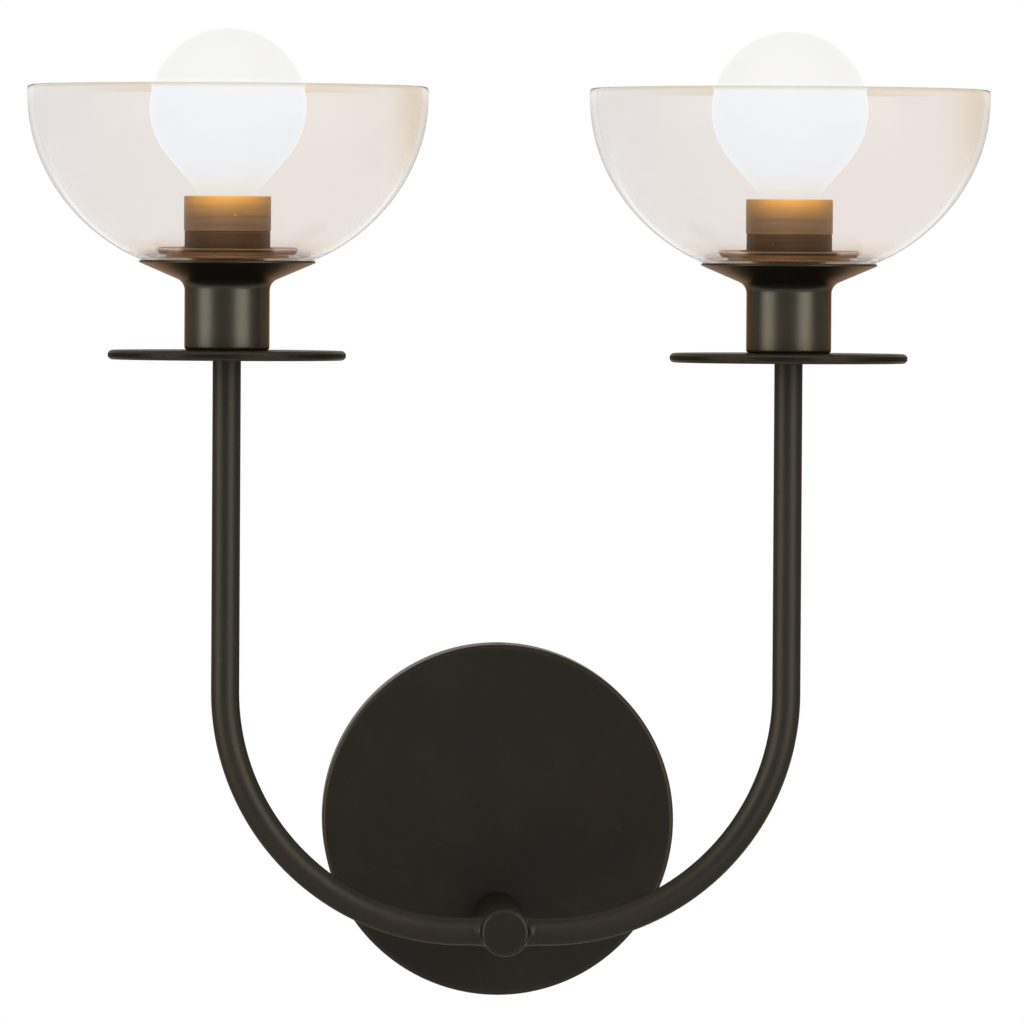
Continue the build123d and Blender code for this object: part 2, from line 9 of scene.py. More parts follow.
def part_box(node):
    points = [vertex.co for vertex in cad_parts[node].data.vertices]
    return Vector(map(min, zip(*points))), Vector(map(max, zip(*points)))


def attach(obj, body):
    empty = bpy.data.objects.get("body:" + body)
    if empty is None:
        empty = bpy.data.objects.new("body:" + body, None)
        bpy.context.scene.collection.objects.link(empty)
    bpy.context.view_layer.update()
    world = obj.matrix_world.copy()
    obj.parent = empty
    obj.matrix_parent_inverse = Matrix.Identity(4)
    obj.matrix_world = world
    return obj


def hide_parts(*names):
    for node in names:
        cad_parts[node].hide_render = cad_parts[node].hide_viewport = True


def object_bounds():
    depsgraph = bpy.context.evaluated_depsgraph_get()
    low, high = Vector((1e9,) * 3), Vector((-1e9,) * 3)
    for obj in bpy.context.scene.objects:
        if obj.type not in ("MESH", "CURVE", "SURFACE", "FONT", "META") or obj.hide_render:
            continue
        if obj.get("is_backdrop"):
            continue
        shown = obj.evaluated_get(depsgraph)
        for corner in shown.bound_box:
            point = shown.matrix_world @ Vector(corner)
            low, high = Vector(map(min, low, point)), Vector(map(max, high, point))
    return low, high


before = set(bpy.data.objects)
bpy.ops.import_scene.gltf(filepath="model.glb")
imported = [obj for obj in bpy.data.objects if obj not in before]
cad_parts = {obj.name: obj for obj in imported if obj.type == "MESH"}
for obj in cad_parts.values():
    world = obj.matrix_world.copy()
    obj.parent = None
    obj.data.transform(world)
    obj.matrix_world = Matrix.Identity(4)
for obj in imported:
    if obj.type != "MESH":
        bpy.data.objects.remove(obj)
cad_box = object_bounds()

# A double arm wall sconce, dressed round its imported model. Lengths are in metres, in the
# model's frame: the wall is the plane y = 0, +Z is up, and the sconce stands out towards -Y.

MM = 0.001
SIDES = {"left": -1, "right": 1}
HERE = Matrix.Identity(4)


# ---- sizes ----

# Sheet and wall thicknesses, rounds and fits that a node's box doesn't give
CANOPY_WALL = 1.2 * MM
CANOPY_ROUND = 1.3 * MM
SIDE_HOLE_RADIUS = 2.6 * MM
SIDE_HOLE_FROM_WALL = 8.0 * MM

RECESS_RADIUS = 1.0 * MM
RECESS_DEPTH = 2.0 * MM

HUB_ROUND = 1.1 * MM
HUB_BORE_RADIUS = 3.5 * MM
HUB_TAIL_RADIUS = 5.0 * MM
BRAZE_THICKNESS = 0.3 * MM
BRAZE_LENGTH = 2.2 * MM
BRAZE_ROUND = 1.8 * MM
BRAZE_FEATHER = 0.03 * MM
BRAZE_SUNK = 0.6 * MM

TUBE_WALL = 1.1 * MM
TUBE_BEND = 80.0 * MM
TUBE_IN_HUB = 4.8 * MM
LEAD_RADIUS = 0.9 * MM
LEAD_HALF_GAP = 1.15 * MM
LEAD_HALF_RISE = 1.05 * MM
LEAD_TURN = 2.2 * MM
LEAD_PAST_NIPPLE = 1.5 * MM

NIPPLE_RADIUS = 4.0 * MM
NIPPLE_BORE = 2.6 * MM
SLIP = 0.15 * MM
HAIR = 0.05 * MM

CUP_WALL = 0.8 * MM
CUP_RADIUS = 14.25 * MM
CUP_BASE_ROUND = 1.2 * MM
SAUCER_ROUND = 4.0 * MM
SAUCER_ANGLE = math.radians(23.3)
GASKET_INNER = 19.5 * MM

BOWL_WALL = 2.0 * MM
BOWL_CURVE_HEIGHT = 61.4 * MM
BOWL_LIP = 2.9 * MM
BOWL_HOLE_RADIUS = 13.0 * MM
BOWL_FOOT_RADIUS = 25.9 * MM
BOWL_FOOT_ROUND = 1.5 * MM

CLAMP_SHEET = 0.8 * MM
CLAMP_RIM_HEIGHT = 1.9 * MM
CLAMP_RIM_LEAN = 1.0 * MM
CLAMP_RIM_ROUND = 1.2 * MM
SLEEVE_WALL = 1.0 * MM

HOLDER_BASE_RADIUS = 10.0 * MM
HOLDER_BASE_HEIGHT = 6.0 * MM
HOLDER_DEPTH = 23.5 * MM
LEAD_PASSAGE_RADIUS = 2.7 * MM
NIPPLE_IN_HOLDER = 7.0 * MM
SHELL_WALL = 0.4 * MM

BULB_WALL = 0.7 * MM
BULB_TAPER = math.radians(41)
BULB_NECK_LENGTH = 9.0 * MM
BULB_NECK_ROUND = 3.0 * MM
BASE_WALL = 0.35 * MM
BASE_SHOULDER = 2.9 * MM
BASE_HOLE_RADIUS = 3.3 * MM
BASE_HOLE_HEIGHT = 1.2 * MM
BASE_THREAD_PITCH = 2.5 * MM
BASE_THREAD_DEPTH = 0.5 * MM
FINE_PITCH = 1.0 * MM
FINE_DEPTH = 0.35 * MM
LEAD_IN = 0.4 * MM

AXIS = 1e-7
SHARP_ANGLE = math.radians(38)


def low(node):
    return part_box(node)[0]


def high(node):
    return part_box(node)[1]


def middle(node):
    return (low(node) + high(node)) / 2


def radius_of(node, axis="x"):
    """Half the width of a round node, along an axis that lies across it."""
    return (getattr(high(node), axis) - getattr(low(node), axis)) / 2


def upright(side):
    """The axis of a lamp head: local z is the height."""
    spot = middle(f"{side}_drip_disc")
    return Matrix.Translation((spot.x, spot.y, 0))


def outward(height):
    """An axis that stands out from the wall: local z is the distance from the wall."""
    turn = Matrix(((1, 0, 0, 0), (0, 0, -1, 0), (0, 1, 0, 0), (0, 0, 0, 1)))
    return Matrix.Translation((0, 0, height)) @ turn


# ---- node trees ----


class Wire:
    """One output of a node. Arithmetic on it adds Math nodes to its tree."""

    def __init__(self, graph, socket):
        self.graph = graph
        self.socket = socket

    def out(self, name):
        """Another output of the same node."""
        return Wire(self.graph, self.graph.find(self.socket.node.outputs, name))

    def maths(self, operation, *terms):
        return self.graph.add("ShaderNodeMath", {"operation": operation}, dict(enumerate(terms)))

    def __add__(self, other):
        return self.maths("ADD", self, other)

    def __radd__(self, other):
        return self.maths("ADD", other, self)

    def __sub__(self, other):
        return self.maths("SUBTRACT", self, other)

    def __rsub__(self, other):
        return self.maths("SUBTRACT", other, self)

    def __mul__(self, other):
        return self.maths("MULTIPLY", self, other)

    def __rmul__(self, other):
        return self.maths("MULTIPLY", other, self)

    def __truediv__(self, other):
        return self.maths("DIVIDE", self, other)

    def __neg__(self):
        return self.maths("MULTIPLY", self, -1)

    def over(self, start, end):
        """Rises smoothly from 0 to 1 as the value goes from start to end."""
        ends = {"Value": self, "From Min": start, "From Max": end}
        return self.graph.add("ShaderNodeMapRange", {"interpolation_type": "SMOOTHSTEP"}, ends)


class Graph:
    """A node tree written as calls, one for each node."""

    def __init__(self, tree):
        self.tree = tree
        tree.nodes.clear()

    @staticmethod
    def find(sockets, key):
        if isinstance(key, int):
            return sockets[key]
        return next(socket for socket in sockets if socket.enabled and socket.name == key)

    def add(self, kind, settings=None, inputs=None, output=0):
        """Adds a node: its settings first, then the values or wires of its inputs."""
        node = self.tree.nodes.new(kind)
        for name, value in (settings or {}).items():
            setattr(node, name, value)
        for key, value in (inputs or {}).items():
            socket = self.find(node.inputs, key)
            if isinstance(value, Wire):
                self.tree.links.new(value.socket, socket)
            else:
                socket.default_value = value
        return Wire(self, self.find(node.outputs, output) if len(node.outputs) else None)

    def place(self):
        return self.add("ShaderNodeTexCoord", output="Object")

    def aside(self, x):
        """How far to the right a point lies from the axis of its own lamp head."""
        return x - middle("right_socket_cover").x * x.maths("SIGN", x)

    def worn(self):
        """How far a point lies on an outer corner of its piece, from 0 to 1."""
        return self.add("ShaderNodeAttribute", {"attribute_name": "wear"}, output="Fac")

    def stretched(self, place, level, upright_scale):
        """The place scaled for lines that run round an upright axis."""
        scale = (level, level, upright_scale)
        return self.add("ShaderNodeMapping", None, {"Vector": place, "Scale": scale})

    def noise(self, place, scale, detail=3.0, roughness=0.5):
        values = {"Vector": place, "Scale": scale, "Detail": detail, "Roughness": roughness}
        return self.add("ShaderNodeTexNoise", None, values)

    def mix(self, factor, first, second):
        values = {"Factor": factor, "A": first, "B": second}
        return self.add("ShaderNodeMix", {"data_type": "RGBA"}, values, "Result")

    def bump(self, height, distance, strength=1.0):
        values = {"Height": height, "Distance": distance, "Strength": strength}
        return self.add("ShaderNodeBump", None, values)

    def vector(self, operation, first, second):
        return self.add("ShaderNodeVectorMath", {"operation": operation}, {0: first, 1: second})


def shade(red, green, blue):
    """A colour socket's value from a colour's 0 to 255 parts."""
    parts = [part / 255 for part in (red, green, blue)]
    linear = [p / 12.92 if p <= 0.04045 else ((p + 0.055) / 1.055) ** 2.4 for p in parts]
    return (*linear, 1.0)


# ---- materials ----


FINISHES = {}


def finish(name, depth=None):
    """Makes a finish of a function that returns a Principled shader's inputs for its graph.

    depth is the colour and the density of what light loses on its way through.
    """

    def keep(paint):
        made = bpy.data.materials.new(name)
        made.use_nodes = True
        graph = Graph(made.node_tree)
        ends = {"Surface": graph.add("ShaderNodeBsdfPrincipled", None, paint(graph))}
        if depth:
            ends["Volume"] = graph.add("ShaderNodeVolumeAbsorption", None, depth)
        graph.add("ShaderNodeOutputMaterial", None, ends)
        FINISHES[name] = made
        return paint

    return keep


def dark_bronze(name, roughness, lift, edge):
    """Oil-rubbed bronze: a dark satin coat with faint brown clouds, a little rubbed on corners."""

    @finish(name)
    def paint(graph):
        place = graph.place()
        cloud = graph.noise(place, 38.0, 4.0, 0.6)
        fleck = graph.noise(place, 420.0, 3.0, 0.6)
        grain = graph.noise(place, 2600.0, 2.0, 0.5)
        rubbed = (graph.worn() + 0.8 * (fleck - 0.5)).over(0.5, 1.1)
        coat = graph.mix(cloud.over(0.36, 0.66), shade(48, 46, 40), shade(53, 47, 40))
        coat = graph.mix(fleck.over(0.60, 0.80) * 0.4, coat, shade(72, 60, 47))
        coat = graph.mix(rubbed * 0.15, coat, shade(96, 80, 62))
        return {
            # lift is painted light and shade: it makes this copy of the coat lighter or darker
            "Base Color": graph.vector("MULTIPLY", coat, (lift, lift, lift)),
            "Metallic": 0.85,
            "Specular Tint": edge,
            "Roughness": roughness + 0.12 * (grain - 0.5) + 0.12 * (cloud - 0.5) - 0.05 * rubbed,
            "Normal": graph.bump(0.7 * grain + 0.3 * fleck, 0.05 * MM, 0.35),
        }


@finish("warm_bronze")
def warm_bronze(graph):
    """The clamp and the sleeve: the same coat, browner, and painted lighter as if the bulb lit it.
    """
    place = graph.place()
    cloud = graph.noise(place, 120.0, 4.0, 0.6)
    fleck = graph.noise(place, 700.0, 3.0, 0.6)
    lines = graph.noise(graph.stretched(place, 30, 3000), 1.0, 2.0)
    coat = graph.mix(cloud, shade(142, 112, 84), shade(116, 92, 70))
    coat = graph.mix(fleck.over(0.62, 0.82) * 0.5, coat, shade(128, 100, 70))
    streak = graph.noise(graph.stretched(place, 30, 800), 1.0, 3.0, 0.6)
    painted_glint = graph.noise(place, 1100.0, 1.0)
    coat = graph.mix(streak.over(0.46, 0.70) * 0.28, coat, shade(62, 46, 34))
    # Painted glints: a few tiny bright specks.
    coat = graph.mix(painted_glint.over(0.75, 0.80), coat, shade(226, 200, 158))
    coat = graph.mix(graph.worn() * 0.4, coat, shade(160, 130, 96))
    # Painted reflection: the inside of the dish is near white.
    painted_dish_reflection = graph.add("ShaderNodeAttribute", {"attribute_name": "dish_reflection"}, output="Fac")
    coat = graph.mix(painted_dish_reflection, coat, shade(232, 212, 202))
    x = graph.add("ShaderNodeSeparateXYZ", None, {0: place}, "X")
    height = x.out("Z")
    joint = low("left_socket_cover").z
    top = high("left_socket_cover").z
    across = graph.aside(x) / radius_of("left_socket_cover")
    across = across * across  # 0 on the head's middle line, 1 at the sleeve's sides
    flange_top = joint - 5.4 * MM
    flange_foot = joint - 6.8 * MM
    under_joint = 1 - height.over(joint - 0.2 * MM, joint + 0.1 * MM)
    on_flange = 1 - height.over(flange_top - 0.2 * MM, flange_top + 0.2 * MM)
    on_lip = on_flange * height.over(flange_foot - 0.3 * MM, flange_foot + 0.4 * MM)
    under_flange = 1 - height.over(flange_foot - 0.3 * MM, flange_foot + 0.3 * MM)
    coat = graph.mix(under_joint * 0.60, coat, shade(34, 26, 20))
    # Painted highlights: the flange turns golden towards its sides, left and right of the head.
    coat = graph.mix(on_flange * across.over(0.3, 1.6), coat, shade(160, 128, 88))
    # Painted reflection: the flange's lip is near white at its left and right sides.
    coat = graph.mix(on_lip * across.over(0.9, 1.3), coat, shade(232, 212, 198))
    # Painted light: the foot below the flange is painted much lighter and tan, which lifts it out
    # of the shade under the flange.
    coat = graph.mix(under_flange * 0.8, coat, shade(206, 160, 114))
    # Painted glow: emission at the sleeve's top stands in for the bulb's light, strongest on the
    # head's middle line and weaker at its sides.
    painted_glow = height.over(top - 11 * MM, top + 1 * MM)
    painted_glow = painted_glow * painted_glow * (1 - 0.78 * across)
    return {
        "Base Color": coat,
        "Metallic": 0.35,
        "Specular Tint": shade(128, 94, 68),
        "Roughness": 0.42 + 0.12 * (lines - 0.5),
        "Normal": graph.bump(lines, 0.02 * MM, 0.3),
        "Emission Color": graph.mix(painted_glow, (0, 0, 0, 1), (0.80, 0.37, 0.035, 1)),
        "Emission Strength": 1.0,
    }


@finish("tinted_glass", {"Color": (0.72, 0.63, 0.56, 1), "Density": 20.0})
def tinted_glass(graph):
    """Clear glass with a pale champagne tint, more golden on the rim and at the foot, with painted
    light on each bowl's right side.
    """
    x = graph.add("ShaderNodeSeparateXYZ", None, {0: graph.place()}, "X")
    height = x.out("Z")
    rim = high("left_glass_bowl").z
    foot = low("left_glass_bowl").z
    side = graph.aside(x) / radius_of("left_glass_bowl")
    golden = height.over(rim - 1.6 * MM, rim - 0.4 * MM)
    thick = 1 - height.over(foot + 1.5 * MM, foot + 9 * MM)
    # Painted light: each bowl's tint is a little warmer towards its right, and golden at its right
    # edge.
    tint = graph.mix(side.over(-1.0, 0.2), shade(244, 242, 241), shade(246, 242, 239))
    tint = graph.mix(side.over(0.78, 0.99), tint, shade(240, 231, 219))
    tint = graph.mix(golden, tint, shade(230, 220, 198))
    return {
        "Base Color": graph.mix(thick * 0.6, tint, shade(230, 212, 196)),
        "Alpha": 0.45 + 0.55 * height.over(foot + 2.6 * MM, foot + 5.0 * MM),
        "Transmission Weight": 1.0,
        "Roughness": 0.0,
        "IOR": 1.13,
    }


@finish("opal_glass")
def opal_glass(graph):
    """Lit opal glass: almost white, and warmer towards the neck."""
    height = graph.add("ShaderNodeSeparateXYZ", None, {0: graph.place()}, "Z")
    neck = low("left_bulb_glass").z + BULB_NECK_LENGTH
    rim = high("left_glass_bowl").z
    # Painted: the glow's tone changes at the height of the bowl's rim, bluer below it, where the
    # tinted glass stands in front, and greyer above.
    above = height.over(rim - 2 * MM, rim + 3 * MM)
    warm = 1 - height.over(neck + 1 * MM, neck + 16 * MM)
    amber = 1 - height.over(neck, neck + 4 * MM)
    glow = graph.mix(above, (0.84, 0.89, 0.95, 1), (0.76, 0.76, 0.74, 1))
    glow = graph.mix(warm, glow, (0.84, 0.82, 0.76, 1))
    return {
        "Base Color": shade(90, 89, 88),
        "Emission Color": graph.mix(amber, glow, (0.84, 0.74, 0.46, 1)),
        "Emission Strength": 1.0,
        "Roughness": 0.5,
        "IOR": 1.1,
    }


@finish("nickel")
def nickel(graph):
    """Bright nickel plate with fine drawing marks."""
    place = graph.place()
    marks = graph.noise(graph.stretched(place, 300, 2400), 1.0, 2.0)
    cloud = graph.noise(place, 180.0)
    return {
        "Base Color": graph.mix(cloud, shade(214, 208, 196), shade(188, 182, 170)),
        "Metallic": 1.0,
        "Roughness": 0.18 + 0.16 * marks,
        "Normal": graph.bump(marks, 0.02 * MM, 0.3),
    }


@finish("brass")
def brass(graph):
    """Raw machined brass, a little dulled."""
    place = graph.place()
    cloud = graph.noise(place, 220.0, 4.0)
    marks = graph.noise(place, 1800.0, 2.0)
    dull = graph.mix(cloud.over(0.4, 0.75), shade(204, 168, 96), shade(158, 122, 70))
    return {
        "Base Color": graph.mix(graph.worn() * 0.5, dull, shade(232, 204, 140)),
        "Metallic": 1.0,
        "Roughness": 0.26 + 0.20 * marks,
        "Normal": graph.bump(marks, 0.02 * MM, 0.3),
    }


@finish("zinc_steel")
def zinc_steel(graph):
    """Zinc-plated pressed steel with a soft spangle."""
    place = graph.place()
    plates = graph.add("ShaderNodeTexVoronoi", None, {"Vector": place, "Scale": 260.0}, "Color")
    spangle = graph.add("ShaderNodeSeparateColor", None, {0: plates})
    grain = graph.noise(place, 1500.0, 3.0)
    return {
        "Base Color": graph.mix(spangle, shade(186, 188, 188), shade(150, 153, 156)),
        "Metallic": 1.0,
        "Roughness": 0.32 + 0.14 * spangle + 0.10 * grain,
        "Normal": graph.bump(grain, 0.03 * MM, 0.4),
    }


@finish("green_screw")
def green_screw(graph):
    """Green dyed plating over steel, rubbed through on the corners."""
    fleck = graph.noise(graph.place(), 900.0)
    green = graph.mix(fleck, shade(38, 122, 58), shade(26, 92, 44))
    return {
        "Base Color": graph.mix(graph.worn() * 0.6, green, shade(160, 172, 150)),
        "Metallic": 0.6,
        "Roughness": 0.30 + 0.20 * fleck,
    }


def moulded(name, first, second, roughness, coat=0.0):
    """A moulded or drawn plain finish with a faint cloud and grain."""

    @finish(name)
    def paint(graph):
        place = graph.place()
        cloud = graph.noise(place, 90.0, 4.0)
        grain = graph.noise(place, 2200.0, 2.0)
        return {
            "Base Color": graph.mix(cloud, first, second),
            "Roughness": roughness + 0.12 * (grain - 0.5),
            "Coat Weight": coat,
            "Normal": graph.bump(grain, 0.03 * MM, 0.3),
        }


@finish("silicone")
def soft_silicone(graph):
    """Translucent tan rubber, on the ring under the bowl and the washer above its foot."""
    cloud = graph.noise(graph.place(), 160.0)
    return {
        "Base Color": graph.mix(cloud, shade(214, 172, 126), shade(196, 154, 110)),
        "Roughness": 0.45 + 0.10 * cloud,
        "Transmission Weight": 0.35,
        "IOR": 1.41,
    }


# The three bronzes are one coat, made darker (0.60, 0.86) or lighter (1.46) for how bright their
# pieces look under this light: painted shade and painted light.
dark_bronze("dark_bronze", 0.44, 0.60, shade(228, 222, 214))
dark_bronze("tube_bronze", 0.46, 0.86, shade(206, 196, 186))
dark_bronze("spun_bronze", 0.32, 1.46, shade(214, 182, 158))
moulded("black_plastic", shade(38, 35, 33), shade(26, 24, 23), 0.38)
moulded("lead_insulation", shade(48, 47, 46), shade(30, 30, 30), 0.42)
moulded("solder", shade(168, 168, 170), shade(140, 140, 144), 0.35, 0.2)
moulded("clear_glass", shade(222, 228, 228), shade(206, 214, 214), 0.12, 0.5)
moulded("filament", shade(236, 190, 82), shade(214, 160, 58), 0.5)


# ---- objects ----


def new_object(name, data):
    made = bpy.data.objects.new(name, data)
    bpy.context.scene.collection.objects.link(made)
    return made


def dress(piece, name):
    """Gives a piece one finish."""
    piece.data.materials.clear()
    piece.data.materials.append(FINISHES[name])


def hand_over(piece, place, finish_name, node, body="fixture"):
    """Puts a piece in place, gives it its finish and its body, and hides the node it stands for."""
    piece.data.transform(place)
    dress(piece, finish_name)
    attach(piece, body)
    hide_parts(node)


# ---- turned outlines ----


class Station(NamedTuple):
    """A point of a turned outline, with what the surface is like there."""

    radius: float
    height: float
    wear: float = 0.0
    sides: int = 0
    thread: float = 0.0


def rounded(corners, arc_step=math.radians(12), closed=True):
    """Stations along straight runs between corners (radius, height, rounding, sides).

    A rounded corner is an arc, and a plain station on each side of it keeps the runs straight.
    On a closed outline that goes round anticlockwise, the arcs of its outer corners are worn.
    """
    stations = []
    count = len(corners)
    for index, corner in enumerate(corners):
        here = Vector(corner[:2])
        rounding = corner[2] if len(corner) > 2 else 0.0
        sides = corner[3] if len(corner) > 3 else 0
        open_end = not closed and index in (0, count - 1)
        if rounding == 0 or open_end:
            stations.append(Station(here.x, here.y, 0.0, sides))
            continue
        back = Vector(corners[index - 1][:2]) - here
        ahead = Vector(corners[(index + 1) % count][:2]) - here
        half = back.angle(ahead) / 2
        reach = min(rounding / math.tan(half), 0.48 * back.length, 0.48 * ahead.length)
        rounding = reach * math.tan(half)
        middle_way = (back.normalized() + ahead.normalized()).normalized()
        centre = here + middle_way * rounding / math.sin(half)
        start = here + back.normalized() * reach
        end = here + ahead.normalized() * reach
        outer = (here - start).cross(end - here) > 0
        steps = max(2, math.ceil((math.pi - 2 * half) / arc_step))
        margin = min(0.8 * rounding + 0.1 * MM, 0.25 * back.length, 0.25 * ahead.length)
        stations.append(Station(*(start + back.normalized() * margin), 0.0, sides))
        for step in range(steps + 1):
            spoke = (start - centre).lerp(end - centre, step / steps).normalized() * rounding
            stations.append(Station(*(centre + spoke), 1.0 if outer else 0.0, sides))
        stations.append(Station(*(end + ahead.normalized() * margin), 0.0, sides))
    return stations


def offset_run(corners, wall):
    """The corners of an open run moved to their left by a wall, each with its rounding."""
    points = [Vector(corner[:2]) for corner in corners]
    headings = [(b - a).normalized() for a, b in zip(points, points[1:])]
    moved = []
    for index, point in enumerate(points):
        before = headings[max(index - 1, 0)]
        after = headings[min(index, len(headings) - 1)]
        left = Vector((-before.y - after.y, before.x + after.x)).normalized()
        spread = left.dot(Vector((-before.y, before.x)))
        rounding = corners[index][2] if len(corners[index]) > 2 else 0.0
        turn = before.cross(after)
        if rounding:
            rounding = max(rounding - math.copysign(wall, turn), 0.1 * MM)
        moved.append((*(point + left * wall / spread), rounding))
    return moved


def sheet(corners, wall):
    """The closed outline of a sheet whose outer face runs through the corners."""
    return [*corners, *reversed(offset_run(corners, wall))]


def threaded(radius, start, end, pitch, runout=0.5):
    """Stations along a threaded stretch; the thread fades out at both of its ends."""
    per_turn = 8
    count = max(2, math.ceil(abs(end - start) / pitch * per_turn))
    fade = runout * pitch
    stations = []
    for index in range(count + 1):
        height = start + (end - start) * index / count
        depth = min(abs(height - start), abs(height - end)) / fade
        stations.append(Station(radius, height, 0.3, 0, min(1.0, depth)))
    return stations


def polygon_share(angle, sides):
    """How much farther a polygon's side lies at an angle than at its middle."""
    step = 2 * math.pi / sides
    return 1 / math.cos((angle + step / 2) % step - step / 2)


def lofted(name, rings, wears, threads, wrapped):
    """A closed mesh through rings of points. A ring of one point is a pole."""
    mesh = bpy.data.meshes.new(name)
    build = bmesh.new()
    wear_layer = build.verts.layers.float.new("wear")
    thread_layer = build.verts.layers.float.new("thread")
    made = []
    for ring, wear, thread in zip(rings, wears, threads):
        made.append([build.verts.new(point) for point in ring])
        for vertex in made[-1]:
            vertex[wear_layer] = wear
            vertex[thread_layer] = thread
    pairs = list(zip(made, made[1:]))
    if wrapped:
        pairs.append((made[-1], made[0]))
    for first, second in pairs:
        steps = max(len(first), len(second))
        for step in range(steps):
            after = (step + 1) % steps
            corners = [
                first[step % len(first)],
                first[after % len(first)],
                second[after % len(second)],
                second[step % len(second)],
            ]
            build.faces.new(dict.fromkeys(corners))
    bmesh.ops.recalc_face_normals(build, faces=build.faces)
    for face in build.faces:
        face.smooth = True
    build.to_mesh(mesh)
    build.free()
    mesh.set_sharp_from_angle(angle=SHARP_ANGLE)
    return new_object(name, mesh)


def turned(name, stations, steps=96):
    """A piece turned round its local z axis. It closes on the axis or on itself."""
    rings = []
    for station in stations:
        if station.radius < AXIS:
            rings.append([Vector((0, 0, station.height))])
            continue
        ring = []
        for step in range(steps):
            angle = 2 * math.pi * step / steps
            share = polygon_share(angle, station.sides) if station.sides else 1
            reach = station.radius * share
            ring.append(Vector((reach * math.cos(angle), reach * math.sin(angle), station.height)))
        rings.append(ring)
    wears = [station.wear for station in stations]
    threads = [station.thread for station in stations]
    return lofted(name, rings, wears, threads, len(rings[0]) > 1 and len(rings[-1]) > 1)


def settle(piece):
    """Makes what the modifiers of a piece show its own mesh, with its corners sharp."""
    bpy.context.view_layer.update()
    graph = bpy.context.evaluated_depsgraph_get()
    shown = bpy.data.meshes.new_from_object(piece.evaluated_get(graph), depsgraph=graph)
    shown.set_sharp_from_angle(angle=SHARP_ANGLE)
    piece.modifiers.clear()
    piece.data = shown


def drill(piece, place, radius, start, end):
    """Cuts a round hole through a piece along the place's z axis."""
    rod = turned("drill", rounded([(0, start), (radius, start), (radius, end), (0, end)]), 48)
    rod.data.transform(place)
    cut = piece.modifiers.new("hole", "BOOLEAN")
    cut.object = rod
    settle(piece)
    bpy.data.objects.remove(rod)


# ---- geometry node tools ----


def tool(name, sizes, shape):
    """A geometry node tree with named inputs. shape(graph, piece, sizes) returns its geometry."""
    tree = bpy.data.node_groups.new(name, "GeometryNodeTree")
    tree.interface.new_socket("Geometry", in_out="OUTPUT", socket_type="NodeSocketGeometry")
    tree.interface.new_socket("Piece", in_out="INPUT", socket_type="NodeSocketGeometry")
    for size in sizes:
        tree.interface.new_socket(size, in_out="INPUT", socket_type="NodeSocketFloat")
    tree.interface.new_socket("Finish", in_out="INPUT", socket_type="NodeSocketMaterial")
    graph = Graph(tree)
    entry = graph.add("NodeGroupInput")
    values = {size: entry.out(size) for size in sizes}
    shaped = shape(graph, entry.out("Piece"), values)
    shaped = graph.add("GeometryNodeRealizeInstances", None, {"Geometry": shaped})
    painted = {"Geometry": shaped, "Material": entry.out("Finish")}
    painted = graph.add("GeometryNodeSetMaterial", None, painted)
    graph.add("NodeGroupOutput", None, {"Geometry": painted})
    return tree


def shaped_by(piece, tree, finish_name, **sizes):
    """A plain mesh object of what a geometry node tree makes of a piece."""
    modifier = piece.modifiers.new(tree.name, "NODES")
    modifier.node_group = tree
    values = {"Finish": FINISHES[finish_name], **sizes}
    for item in tree.interface.items_tree:
        key = item.name.replace(" ", "_")
        if item.in_out == "INPUT" and key in values:
            modifier[item.identifier] = values[key]
    bpy.context.view_layer.update()
    graph = bpy.context.evaluated_depsgraph_get()
    mesh = bpy.data.meshes.new_from_object(piece.evaluated_get(graph), depsgraph=graph)
    name = piece.name
    source = piece.data
    bpy.data.objects.remove(piece)
    if isinstance(source, bpy.types.Curve):
        bpy.data.curves.remove(source)
    return new_object(name, mesh)


def thread_shape(graph, piece, sizes):
    """Presses a helical groove into the points that carry some thread."""
    place = graph.add("GeometryNodeInputPosition")
    x = graph.add("ShaderNodeSeparateXYZ", None, {0: place}, "X")
    angle = x.out("Y").maths("ARCTAN2", x.out("Y"), x)
    phase = x.out("Z") * (2 * math.pi) / sizes["Pitch"] - angle
    groove = 0.5 - 0.5 * phase.maths("COSINE", phase)
    share = graph.add("GeometryNodeInputNamedAttribute", {"data_type": "FLOAT"}, {"Name": "thread"})
    spoke = graph.vector("MULTIPLY", place, (1, 1, 0))
    spoke = graph.add("ShaderNodeVectorMath", {"operation": "NORMALIZE"}, {0: spoke})
    depth = -(sizes["Depth"] * groove * share)
    push = graph.add("ShaderNodeVectorMath", {"operation": "SCALE"}, {0: spoke, "Scale": depth})
    return graph.add("GeometryNodeSetPosition", None, {"Geometry": piece, "Offset": push})


def tube_shape(graph, path, sizes):
    """Rounds the corners of a path by its points' radius and draws a tube along it."""
    bend = graph.add("GeometryNodeInputRadius")
    corners = {"Curve": path, "Count": 48, "Radius": bend}
    route = graph.add("GeometryNodeFilletCurve", {"mode": "POLY"}, corners)
    route = graph.add("GeometryNodeSetCurveRadius", None, {"Curve": route, "Radius": 1.0})
    ring = {"Resolution": 48, "Radius": sizes["Tube Radius"]}
    ring = graph.add("GeometryNodeCurvePrimitiveCircle", {"mode": "RADIUS"}, ring)
    return graph.add("GeometryNodeCurveToMesh", None, {"Curve": route, "Profile Curve": ring})


THREAD = tool("thread", ["Pitch", "Depth"], thread_shape)
TUBE = tool("bent tube", ["Tube Radius"], tube_shape)


def thread_cut(piece, finish_name, pitch=FINE_PITCH, depth=FINE_DEPTH):
    return shaped_by(piece, THREAD, finish_name, Pitch=pitch, Depth=depth)


